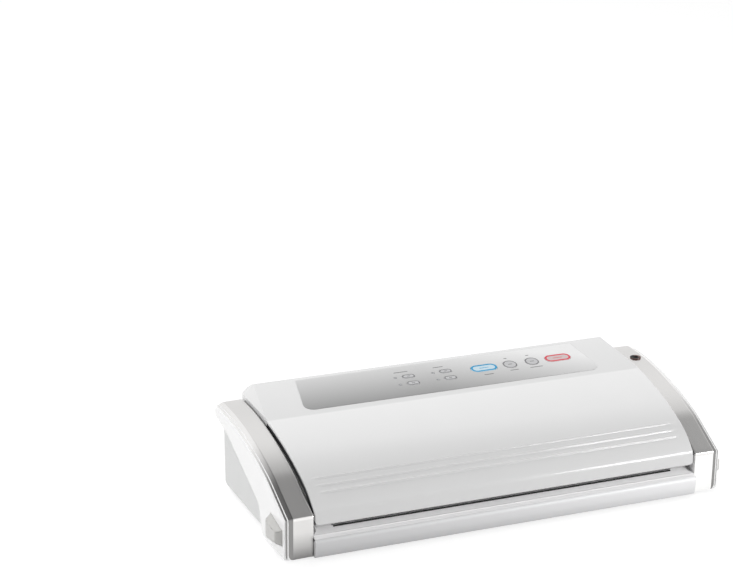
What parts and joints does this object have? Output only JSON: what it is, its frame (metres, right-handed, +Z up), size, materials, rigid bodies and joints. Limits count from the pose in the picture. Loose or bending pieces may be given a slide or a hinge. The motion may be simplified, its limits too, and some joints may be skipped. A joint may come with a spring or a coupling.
{
  "type": "vacuum packing machine",
  "caption": "Countertop vacuum packing machine with splayed side arms, hinged lid with control panel, front bag slot, seal bar, gasket and side release buttons.",
  "frame": {"origin": "centre of the machine's base, on the surface it stands on", "axes": "+X to the machine's right seen from its front, +Y towards its hinged rear, +Z up"},
  "size_m": [0.399, 0.1792, 0.0869],
  "materials": {
    "white_gloss": "glossy white",
    "white_plastic": "satin white",
    "deck_plastic": "satin light grey",
    "satin_metal": "satin",
    "dark_plastic": "matt black",
    "dark_rubber": "matt",
    "strip_rubber": "matt silicone",
    "clear_rubber": "translucent silicone",
    "steel": "bright",
    "iron": "lacquered laminations",
    "tape_cloth": "coated glass cloth",
    "board_green": "lacquered board",
    "port_brown": "glossy",
    "overlay_silver": "silver printed sheet",
    "key_silver": "satin",
    "key_blue": "satin, blue rim",
    "key_red": "satin, red rim",
    "lamp_lens": "clear",
    "button_grey": "satin"
  },
  "bodies": {
    "base": {"lower_casing": "white_plastic", "base_plate": "white_plastic", "top_deck": "deck_plastic", "front_fascia": "white_plastic", "arm_cover_right": "white_gloss", "arm_cover_left": "white_gloss", "bezel_right": "satin_metal", "bezel_left": "satin_metal", "vacuum_trough": "dark_plastic", "lower_gasket": "dark_rubber", "seal_bar": "dark_plastic", "heater_wire": "steel", "sealing_tape": "tape_cloth", "pump_motor": "steel", "pump_saddles": "dark_rubber", "pump_head": "dark_plastic", "vacuum_hose": "clear_rubber", "transformer": "iron", "power_board": "board_green", "micro_switches": "dark_plastic", "cord_gland": "dark_rubber", "rubber_feet": "dark_rubber", "case_screws": "steel", "port_bushing": "port_brown", "port_hose": "clear_rubber", "button_spring_right": "steel", "hinge_bracket_right": "steel", "hinge_pin_right": "steel", "button_spring_left": "steel", "hinge_bracket_left": "steel", "hinge_pin_left": "steel"},
    "lid": {"lid_shell": "white_gloss", "lid_liner": "deck_plastic", "upper_gasket": "dark_rubber", "pressure_strip": "strip_rubber", "lid_screws": "steel", "lid_hook_right": "white_plastic", "lid_hook_left": "white_plastic", "control_overlay": "overlay_silver", "led_lenses": "lamp_lens", "control_board": "board_green", "tact_switches": "dark_plastic", "hinge_leaf_right": "steel", "hinge_leaf_left": "steel"},
    "button_right": {"release_button_right": "button_grey", "latch_slider_right": "dark_plastic"},
    "button_left": {"release_button_left": "button_grey", "latch_slider_left": "dark_plastic"},
    "key_mode_upper": {"key_mode_upper": "key_silver"},
    "key_mode_lower": {"key_mode_lower": "key_silver"},
    "key_time_upper": {"key_time_upper": "key_silver"},
    "key_time_lower": {"key_time_lower": "key_silver"},
    "key_vacuum_seal": {"key_vacuum_seal": "key_blue"},
    "key_seal": {"key_seal": "key_silver"},
    "key_pulse": {"key_pulse": "key_silver"},
    "key_cancel": {"key_cancel": "key_red"}
  },
  "joints": [
    {"name": "lid_hinge", "type": "hinge", "parent": "base", "child": "lid", "pos_m": [0, 0.07762, 0.068], "axis": [-1, 0, 0], "range_deg": [0, 70]},
    {"name": "release_button_right_press", "type": "slide", "parent": "base", "child": "button_right", "axis": [-0.9994, 0.0344, 0], "range_m": [0, 0.003], "stiffness_N_per_m": 400, "deforming": ["button_spring_right"]},
    {"name": "release_button_left_press", "type": "slide", "parent": "base", "child": "button_left", "axis": [0.9994, 0.0344, 0], "range_m": [0, 0.003], "stiffness_N_per_m": 400, "deforming": ["button_spring_left"]},
    {"name": "key_mode_upper_press", "type": "slide", "parent": "lid", "child": "key_mode_upper", "axis": [0, 0.1582, -0.9874], "range_m": [0, 0.0005], "stiffness_N_per_m": 1200},
    {"name": "key_mode_lower_press", "type": "slide", "parent": "lid", "child": "key_mode_lower", "axis": [0, 0.1582, -0.9874], "range_m": [0, 0.0005], "stiffness_N_per_m": 1200},
    {"name": "key_time_upper_press", "type": "slide", "parent": "lid", "child": "key_time_upper", "axis": [0, 0.1582, -0.9874], "range_m": [0, 0.0005], "stiffness_N_per_m": 1200},
    {"name": "key_time_lower_press", "type": "slide", "parent": "lid", "child": "key_time_lower", "axis": [0, 0.1582, -0.9874], "range_m": [0, 0.0005], "stiffness_N_per_m": 1200},
    {"name": "key_vacuum_seal_press", "type": "slide", "parent": "lid", "child": "key_vacuum_seal", "axis": [0, 0.1582, -0.9874], "range_m": [0, 0.0005], "stiffness_N_per_m": 1200},
    {"name": "key_seal_press", "type": "slide", "parent": "lid", "child": "key_seal", "axis": [0, 0.1582, -0.9874], "range_m": [0, 0.0005], "stiffness_N_per_m": 1200},
    {"name": "key_pulse_press", "type": "slide", "parent": "lid", "child": "key_pulse", "axis": [0, 0.1582, -0.9874], "range_m": [0, 0.0005], "stiffness_N_per_m": 1200},
    {"name": "key_cancel_press", "type": "slide", "parent": "lid", "child": "key_cancel", "axis": [0, 0.1582, -0.9874], "range_m": [0, 0.0005], "stiffness_N_per_m": 1200}
  ]
}
